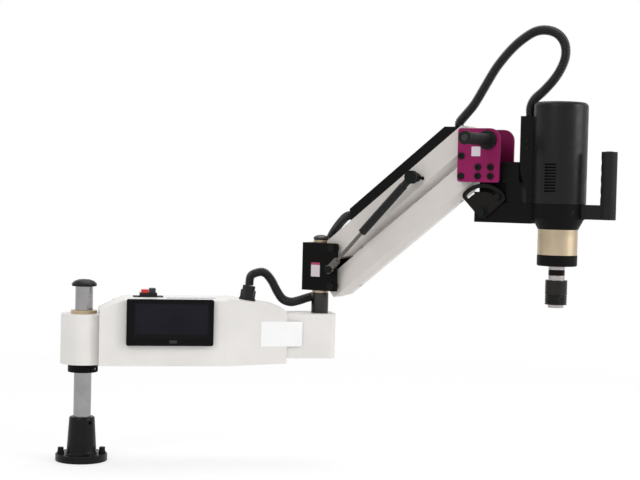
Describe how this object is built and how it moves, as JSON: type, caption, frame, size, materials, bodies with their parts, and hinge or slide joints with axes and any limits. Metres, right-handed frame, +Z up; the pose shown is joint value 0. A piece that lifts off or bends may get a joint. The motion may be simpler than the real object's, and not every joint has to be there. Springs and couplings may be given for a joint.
{
  "type": "arm tapping machine",
  "caption": "Swinging tapping arm on a bench column: electronics box, sprung parallel-link arm and tilting geared motor head with a quick-change chuck.",
  "frame": {"origin": "centre of the base flange's underside, on the column axis", "axes": "+Z up along the column; +X from the column along the electronics arm to the post; the viewer stands at -Y"},
  "size_m": [1.0993, 0.4962, 0.9483],
  "materials": {
    "black enamel": "satin black enamel",
    "base screws": "blackened steel",
    "ground column": "ground steel",
    "column cap": "black cap",
    "black collar": "blackened steel",
    "collar screw": "blackened steel",
    "white hub paint": "satin warm white",
    "white arm paint": "satin warm white",
    "white cover paint": "satin warm white",
    "bush bronze": "turned bronze",
    "bezel plastic": "matt black",
    "screen glass": "dark gloss",
    "switch plastic": "matt black",
    "drive case": "grey finned case",
    "gland plastic": "matt black",
    "dark post steel": "blackened and ground",
    "post cap steel": "blackened",
    "red button": "gloss red",
    "dark button": "gloss dark grey",
    "block black": "black anodised",
    "post bronze": "turned bronze",
    "pin steel": "ground steel",
    "beam paint": "satin light warm grey",
    "beam bronze": "turned bronze",
    "cover black": "matt black",
    "stud steel": "zinc plated",
    "lower beam paint": "satin light warm grey",
    "lower bronze": "turned bronze",
    "spring rod chrome": "polished rod",
    "spring cylinder paint": "black tube with plain end",
    "magenta paint": "satin magenta",
    "magenta rear paint": "satin magenta",
    "spacer steel": "blackened",
    "far pin steel": "blackened",
    "black bolts": "black oxide",
    "head block black": "satin black",
    "grip rubber": "matt black rubber",
    "pivot bolt steel": "blackened steel",
    "sector steel": "blackened plate",
    "side button plastic": "gloss dark",
    "bracket black": "satin black",
    "tilt screw steel": "blackened steel",
    "flange black": "satin black",
    "cover plastic": "satin black",
    "cable box plastic": "satin black",
    "stator iron": "plain",
    "gold ring": "gold tinted steel",
    "nose black": "satin black",
    "bearing steel": "ground steel",
    "handle plastic": "matt black",
    "thumb button": "gloss dark",
    "rotor steel": "plain",
    "planet steel": "hobbed steel",
    "spindle steel": "ground steel",
    "sleeve steel": "dark knurled steel",
    "hose plastic": "ribbed matt black"
  },
  "bodies": {
    "base": {"base_flange": "black enamel", "base_screws": "base screws", "column": "ground column", "column_cap": "column cap"},
    "collar": {"height_collar": "black collar", "collar_screw": "collar screw"},
    "arm": {"arm_hub": "white hub paint", "arm_body": "white arm paint", "arm_cover": "white cover paint", "column_bushes": "bush bronze", "screen_bezel": "bezel plastic", "screen_glass": "screen glass", "switch_plate": "switch plastic", "servo_drive": "drive case", "hose_gland": "gland plastic", "post": "dark post steel", "post_cap": "post cap steel", "hose_lower": "hose plastic"},
    "stop": {"stop_button": "red button"},
    "start": {"start_button": "dark button"},
    "turning_block": {"pivot_block": "block black", "post_bushes": "post bronze", "near_pins": "pin steel", "hose_middle": "hose plastic"},
    "upper_link": {"upper_beam": "beam paint", "upper_beam_bushes": "beam bronze", "cable_cover": "cover black", "spring_stud": "stud steel", "hose_upper": "hose plastic"},
    "lower_link": {"lower_beam": "lower beam paint", "lower_beam_bushes": "lower bronze"},
    "rod": {"spring_rod": "spring rod chrome"},
    "cylinder": {"spring_cylinder": "spring cylinder paint"},
    "carrier": {"head_plate_front": "magenta paint", "head_plate_rear": "magenta rear paint", "spacer_bars": "spacer steel", "far_pins": "far pin steel", "plate_bolts": "black bolts", "head_block": "head block black", "side_grip": "grip rubber", "pivot_bolt": "pivot bolt steel"},
    "side_push": {"side_button": "side button plastic"},
    "head": {"tilt_bracket": "bracket black", "sector_plate": "sector steel", "tilt_screws": "tilt screw steel", "motor_flange": "flange black", "motor_cover": "cover plastic", "cable_box": "cable box plastic", "motor_stator": "stator iron", "gearbox_ring": "gold ring", "gearbox_nose": "nose black", "spindle_bearings": "bearing steel", "end_handle": "handle plastic"},
    "end_push": {"end_button": "thumb button"},
    "rotor": {"motor_rotor": "rotor steel"},
    "spindle_unit": {"spindle": "spindle steel"},
    "planet_1": {"planet_gear_1": "planet steel"},
    "planet_2": {"planet_gear_2": "planet steel"},
    "planet_3": {"planet_gear_3": "planet steel"},
    "sleeve": {"chuck_sleeve": "sleeve steel"}
  },
  "joints": [
    {"name": "height_slide", "type": "slide", "parent": "base", "child": "collar", "axis": [0, 0, 1], "range_m": [-0.095, 0.05]},
    {"name": "arm_swing", "type": "hinge", "parent": "collar", "child": "arm", "pos_m": [0, 0, 0.26], "axis": [0, 0, 1], "range_deg": [-170, 170]},
    {"name": "stop_press", "type": "slide", "parent": "arm", "child": "stop", "axis": [0, 0, -1], "range_m": [0, 0.003], "stiffness_N_per_m": 1000, "springref_m": -0.002},
    {"name": "start_press", "type": "slide", "parent": "arm", "child": "start", "axis": [0, 0, -1], "range_m": [0, 0.003], "stiffness_N_per_m": 1000, "springref_m": -0.002},
    {"name": "block_swing", "type": "hinge", "parent": "arm", "child": "turning_block", "pos_m": [0.52, 0, 0.43], "axis": [0, 0, 1], "range_deg": [-65, 145], "deforming": ["hose_lower"]},
    {"name": "lift", "type": "hinge", "parent": "turning_block", "child": "upper_link", "pos_m": [0.55665, -0.03021, 0.473], "axis": [-0.6361, -0.7716, 0], "range_deg": [-59, 4], "deforming": ["hose_middle"]},
    {"name": "lower_link_turn", "type": "hinge", "parent": "turning_block", "child": "lower_link", "pos_m": [0.55665, -0.03021, 0.389], "axis": [-0.6361, -0.7716, 0], "range_deg": [-59, 4]},
    {"name": "spring_turn", "type": "hinge", "parent": "turning_block", "child": "rod", "pos_m": [0.52551, -0.07193, 0.4265], "axis": [-0.6361, -0.7716, 0], "range_deg": [-56, 4.2]},
    {"name": "spring_slide", "type": "slide", "parent": "rod", "child": "cylinder", "axis": [0.5293, -0.4363, 0.7276], "range_m": [-0.0445, 0.0035]},
    {"name": "head_level", "type": "hinge", "parent": "upper_link", "child": "carrier", "pos_m": [0.79172, -0.22399, 0.71969], "axis": [-0.6361, -0.7716, 0], "range_deg": [-4, 59], "deforming": ["hose_upper"]},
    {"name": "side_press", "type": "slide", "parent": "carrier", "child": "side_push", "axis": [0.6361, 0.7716, 0], "range_m": [0, 0.003], "stiffness_N_per_m": 1000, "springref_m": -0.002},
    {"name": "tilt", "type": "hinge", "parent": "carrier", "child": "head", "pos_m": [0.82811, -0.25399, 0.5612], "axis": [0.6361, 0.7716, 0], "range_deg": [0, 90]},
    {"name": "end_press", "type": "slide", "parent": "head", "child": "end_push", "axis": [0, 0, -1], "range_m": [0, 0.003], "stiffness_N_per_m": 1000, "springref_m": -0.002},
    {"name": "spindle_spin", "type": "hinge", "parent": "head", "child": "spindle_unit", "pos_m": [0.94671, -0.35175, 0.44], "axis": [0, 0, 1], "continuous": true},
    {"name": "rotor_spin", "type": "hinge", "parent": "head", "child": "rotor", "pos_m": [0.94671, -0.35175, 0.64], "axis": [0, 0, 1], "continuous": true},
    {"name": "planet_1_spin", "type": "hinge", "parent": "spindle_unit", "child": "planet_1", "pos_m": [0.95042, -0.32956, 0.5], "axis": [0, 0, 1], "continuous": true},
    {"name": "planet_2_spin", "type": "hinge", "parent": "spindle_unit", "child": "planet_2", "pos_m": [0.92563, -0.35963, 0.5], "axis": [0, 0, 1], "continuous": true},
    {"name": "planet_3_spin", "type": "hinge", "parent": "spindle_unit", "child": "planet_3", "pos_m": [0.96407, -0.36606, 0.5], "axis": [0, 0, 1], "continuous": true},
    {"name": "sleeve_slide", "type": "slide", "parent": "spindle_unit", "child": "sleeve", "axis": [0, 0, 1], "range_m": [0, 0.004], "stiffness_N_per_m": 800, "springref_m": -0.002}
  ],
  "couplings": [
    {"joint": "lower_link_turn", "follows": "lift", "ratio": 1},
    {"joint": "head_level", "follows": "lift", "ratio": -1},
    {"joint": "spring_turn", "follows": "lift", "ratio": 0.94},
    {"joint": "spring_slide", "follows": "lift", "m_per_rad": 0.042},
    {"joint": "rotor_spin", "follows": "spindle_spin", "ratio": 4},
    {"joint": "planet_1_spin", "follows": "spindle_spin", "ratio": -3},
    {"joint": "planet_2_spin", "follows": "spindle_spin", "ratio": -3},
    {"joint": "planet_3_spin", "follows": "spindle_spin", "ratio": -3}
  ]
}
